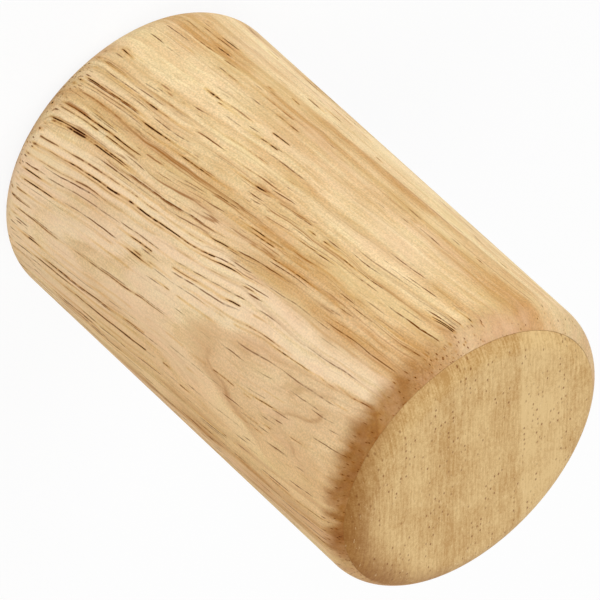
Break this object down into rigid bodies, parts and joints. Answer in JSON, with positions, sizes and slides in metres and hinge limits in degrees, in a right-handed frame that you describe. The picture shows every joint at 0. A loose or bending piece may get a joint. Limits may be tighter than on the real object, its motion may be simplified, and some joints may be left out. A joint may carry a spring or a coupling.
{
  "type": "wooden shaker",
  "caption": "Hand shaker turned from pale wood: a short hollow cylinder with rounded ends and a glued-in end lid, holding loose steel balls that rattle when it is shaken.",
  "frame": {"origin": "centre of the closed end's flat face, which the shaker stands on", "axes": "+Z along the turning axis from the closed end to the lid; X and Y across it"},
  "size_m": [0.05, 0.05, 0.084],
  "materials": {
    "body_wood": "fine-sanded pale hardwood with brown pore lines, clear satin",
    "lid_wood": "fine-sanded pale hardwood, clear satin",
    "ball_steel": "plain bright steel"
  },
  "bodies": {
    "shell": {"turned_body": "body_wood", "end_lid": "lid_wood"},
    "ball_01": {"ball_01": "ball_steel"},
    "ball_02": {"ball_02": "ball_steel"},
    "ball_03": {"ball_03": "ball_steel"},
    "ball_04": {"ball_04": "ball_steel"},
    "ball_05": {"ball_05": "ball_steel"},
    "ball_06": {"ball_06": "ball_steel"},
    "ball_07": {"ball_07": "ball_steel"},
    "ball_08": {"ball_08": "ball_steel"},
    "ball_09": {"ball_09": "ball_steel"},
    "ball_10": {"ball_10": "ball_steel"},
    "ball_11": {"ball_11": "ball_steel"},
    "ball_12": {"ball_12": "ball_steel"},
    "ball_13": {"ball_13": "ball_steel"},
    "ball_14": {"ball_14": "ball_steel"},
    "ball_15": {"ball_15": "ball_steel"},
    "ball_16": {"ball_16": "ball_steel"},
    "ball_17": {"ball_17": "ball_steel"},
    "ball_18": {"ball_18": "ball_steel"},
    "ball_19": {"ball_19": "ball_steel"},
    "ball_20": {"ball_20": "ball_steel"},
    "ball_21": {"ball_21": "ball_steel"},
    "ball_22": {"ball_22": "ball_steel"},
    "ball_23": {"ball_23": "ball_steel"},
    "ball_24": {"ball_24": "ball_steel"},
    "ball_25": {"ball_25": "ball_steel"},
    "ball_26": {"ball_26": "ball_steel"},
    "ball_27": {"ball_27": "ball_steel"},
    "ball_28": {"ball_28": "ball_steel"},
    "ball_29": {"ball_29": "ball_steel"},
    "ball_30": {"ball_30": "ball_steel"},
    "ball_31": {"ball_31": "ball_steel"},
    "ball_32": {"ball_32": "ball_steel"},
    "ball_33": {"ball_33": "ball_steel"},
    "ball_34": {"ball_34": "ball_steel"},
    "ball_35": {"ball_35": "ball_steel"},
    "ball_36": {"ball_36": "ball_steel"},
    "ball_37": {"ball_37": "ball_steel"},
    "ball_38": {"ball_38": "ball_steel"},
    "ball_39": {"ball_39": "ball_steel"},
    "ball_40": {"ball_40": "ball_steel"},
    "ball_41": {"ball_41": "ball_steel"},
    "ball_42": {"ball_42": "ball_steel"},
    "ball_43": {"ball_43": "ball_steel"},
    "ball_44": {"ball_44": "ball_steel"},
    "ball_45": {"ball_45": "ball_steel"},
    "ball_46": {"ball_46": "ball_steel"},
    "ball_47": {"ball_47": "ball_steel"},
    "ball_48": {"ball_48": "ball_steel"},
    "ball_49": {"ball_49": "ball_steel"},
    "ball_50": {"ball_50": "ball_steel"},
    "ball_51": {"ball_51": "ball_steel"},
    "ball_52": {"ball_52": "ball_steel"},
    "ball_53": {"ball_53": "ball_steel"},
    "ball_54": {"ball_54": "ball_steel"},
    "ball_55": {"ball_55": "ball_steel"}
  },
  "joints": [
    {"name": "ball_01_rattle", "type": "slide", "parent": "shell", "child": "ball_01", "axis": [0, 0, 1], "range_m": [0, 0.0664]},
    {"name": "ball_02_rattle", "type": "slide", "parent": "shell", "child": "ball_02", "axis": [0, 0, 1], "range_m": [0, 0.0664]},
    {"name": "ball_03_rattle", "type": "slide", "parent": "shell", "child": "ball_03", "axis": [0, 0, 1], "range_m": [0, 0.0664]},
    {"name": "ball_04_rattle", "type": "slide", "parent": "shell", "child": "ball_04", "axis": [0, 0, 1], "range_m": [0, 0.0664]},
    {"name": "ball_05_rattle", "type": "slide", "parent": "shell", "child": "ball_05", "axis": [0, 0, 1], "range_m": [0, 0.0664]},
    {"name": "ball_06_rattle", "type": "slide", "parent": "shell", "child": "ball_06", "axis": [0, 0, 1], "range_m": [0, 0.0664]},
    {"name": "ball_07_rattle", "type": "slide", "parent": "shell", "child": "ball_07", "axis": [0, 0, 1], "range_m": [0, 0.0664]},
    {"name": "ball_08_rattle", "type": "slide", "parent": "shell", "child": "ball_08", "axis": [0, 0, 1], "range_m": [0, 0.0664]},
    {"name": "ball_09_rattle", "type": "slide", "parent": "shell", "child": "ball_09", "axis": [0, 0, 1], "range_m": [0, 0.0664]},
    {"name": "ball_10_rattle", "type": "slide", "parent": "shell", "child": "ball_10", "axis": [0, 0, 1], "range_m": [0, 0.0664]},
    {"name": "ball_11_rattle", "type": "slide", "parent": "shell", "child": "ball_11", "axis": [0, 0, 1], "range_m": [0, 0.0664]},
    {"name": "ball_12_rattle", "type": "slide", "parent": "shell", "child": "ball_12", "axis": [0, 0, 1], "range_m": [0, 0.0664]},
    {"name": "ball_13_rattle", "type": "slide", "parent": "shell", "child": "ball_13", "axis": [0, 0, 1], "range_m": [0, 0.0664]},
    {"name": "ball_14_rattle", "type": "slide", "parent": "shell", "child": "ball_14", "axis": [0, 0, 1], "range_m": [0, 0.0664]},
    {"name": "ball_15_rattle", "type": "slide", "parent": "shell", "child": "ball_15", "axis": [0, 0, 1], "range_m": [0, 0.0664]},
    {"name": "ball_16_rattle", "type": "slide", "parent": "shell", "child": "ball_16", "axis": [0, 0, 1], "range_m": [0, 0.0664]},
    {"name": "ball_17_rattle", "type": "slide", "parent": "shell", "child": "ball_17", "axis": [0, 0, 1], "range_m": [0, 0.0664]},
    {"name": "ball_18_rattle", "type": "slide", "parent": "shell", "child": "ball_18", "axis": [0, 0, 1], "range_m": [0, 0.0664]},
    {"name": "ball_19_rattle", "type": "slide", "parent": "shell", "child": "ball_19", "axis": [0, 0, 1], "range_m": [0, 0.0664]},
    {"name": "ball_20_rattle", "type": "slide", "parent": "shell", "child": "ball_20", "axis": [0, 0, 1], "range_m": [0, 0.0664]},
    {"name": "ball_21_rattle", "type": "slide", "parent": "shell", "child": "ball_21", "axis": [0, 0, 1], "range_m": [0, 0.0664]},
    {"name": "ball_22_rattle", "type": "slide", "parent": "shell", "child": "ball_22", "axis": [0, 0, 1], "range_m": [0, 0.0664]},
    {"name": "ball_23_rattle", "type": "slide", "parent": "shell", "child": "ball_23", "axis": [0, 0, 1], "range_m": [0, 0.0664]},
    {"name": "ball_24_rattle", "type": "slide", "parent": "shell", "child": "ball_24", "axis": [0, 0, 1], "range_m": [0, 0.0664]},
    {"name": "ball_25_rattle", "type": "slide", "parent": "shell", "child": "ball_25", "axis": [0, 0, 1], "range_m": [0, 0.0664]},
    {"name": "ball_26_rattle", "type": "slide", "parent": "shell", "child": "ball_26", "axis": [0, 0, 1], "range_m": [0, 0.0664]},
    {"name": "ball_27_rattle", "type": "slide", "parent": "shell", "child": "ball_27", "axis": [0, 0, 1], "range_m": [0, 0.0664]},
    {"name": "ball_28_rattle", "type": "slide", "parent": "shell", "child": "ball_28", "axis": [0, 0, 1], "range_m": [0, 0.0664]},
    {"name": "ball_29_rattle", "type": "slide", "parent": "shell", "child": "ball_29", "axis": [0, 0, 1], "range_m": [0, 0.0664]},
    {"name": "ball_30_rattle", "type": "slide", "parent": "shell", "child": "ball_30", "axis": [0, 0, 1], "range_m": [0, 0.0664]},
    {"name": "ball_31_rattle", "type": "slide", "parent": "shell", "child": "ball_31", "axis": [0, 0, 1], "range_m": [0, 0.0664]},
    {"name": "ball_32_rattle", "type": "slide", "parent": "shell", "child": "ball_32", "axis": [0, 0, 1], "range_m": [0, 0.0664]},
    {"name": "ball_33_rattle", "type": "slide", "parent": "shell", "child": "ball_33", "axis": [0, 0, 1], "range_m": [0, 0.0664]},
    {"name": "ball_34_rattle", "type": "slide", "parent": "shell", "child": "ball_34", "axis": [0, 0, 1], "range_m": [0, 0.0664]},
    {"name": "ball_35_rattle", "type": "slide", "parent": "shell", "child": "ball_35", "axis": [0, 0, 1], "range_m": [0, 0.0664]},
    {"name": "ball_36_rattle", "type": "slide", "parent": "shell", "child": "ball_36", "axis": [0, 0, 1], "range_m": [0, 0.0664]},
    {"name": "ball_37_rattle", "type": "slide", "parent": "shell", "child": "ball_37", "axis": [0, 0, 1], "range_m": [0, 0.0664]},
    {"name": "ball_38_rattle", "type": "slide", "parent": "shell", "child": "ball_38", "axis": [0, 0, 1], "range_m": [0, 0.0664]},
    {"name": "ball_39_rattle", "type": "slide", "parent": "shell", "child": "ball_39", "axis": [0, 0, 1], "range_m": [0, 0.0664]},
    {"name": "ball_40_rattle", "type": "slide", "parent": "shell", "child": "ball_40", "axis": [0, 0, 1], "range_m": [0, 0.0664]},
    {"name": "ball_41_rattle", "type": "slide", "parent": "shell", "child": "ball_41", "axis": [0, 0, 1], "range_m": [0, 0.0664]},
    {"name": "ball_42_rattle", "type": "slide", "parent": "shell", "child": "ball_42", "axis": [0, 0, 1], "range_m": [0, 0.0664]},
    {"name": "ball_43_rattle", "type": "slide", "parent": "shell", "child": "ball_43", "axis": [0, 0, 1], "range_m": [0, 0.0664]},
    {"name": "ball_44_rattle", "type": "slide", "parent": "shell", "child": "ball_44", "axis": [0, 0, 1], "range_m": [0, 0.0664]},
    {"name": "ball_45_rattle", "type": "slide", "parent": "shell", "child": "ball_45", "axis": [0, 0, 1], "range_m": [0, 0.0664]},
    {"name": "ball_46_rattle", "type": "slide", "parent": "shell", "child": "ball_46", "axis": [0, 0, 1], "range_m": [0, 0.0664]},
    {"name": "ball_47_rattle", "type": "slide", "parent": "shell", "child": "ball_47", "axis": [0, 0, 1], "range_m": [0, 0.0664]},
    {"name": "ball_48_rattle", "type": "slide", "parent": "shell", "child": "ball_48", "axis": [0, 0, 1], "range_m": [0, 0.0664]},
    {"name": "ball_49_rattle", "type": "slide", "parent": "shell", "child": "ball_49", "axis": [0, 0, 1], "range_m": [0, 0.0664]},
    {"name": "ball_50_rattle", "type": "slide", "parent": "shell", "child": "ball_50", "axis": [0, 0, 1], "range_m": [0, 0.0664]},
    {"name": "ball_51_rattle", "type": "slide", "parent": "shell", "child": "ball_51", "axis": [0, 0, 1], "range_m": [0, 0.0664]},
    {"name": "ball_52_rattle", "type": "slide", "parent": "shell", "child": "ball_52", "axis": [0, 0, 1], "range_m": [0, 0.0664]},
    {"name": "ball_53_rattle", "type": "slide", "parent": "shell", "child": "ball_53", "axis": [0, 0, 1], "range_m": [0, 0.0664]},
    {"name": "ball_54_rattle", "type": "slide", "parent": "shell", "child": "ball_54", "axis": [0, 0, 1], "range_m": [0, 0.0664]},
    {"name": "ball_55_rattle", "type": "slide", "parent": "shell", "child": "ball_55", "axis": [0, 0, 1], "range_m": [0, 0.0664]}
  ]
}
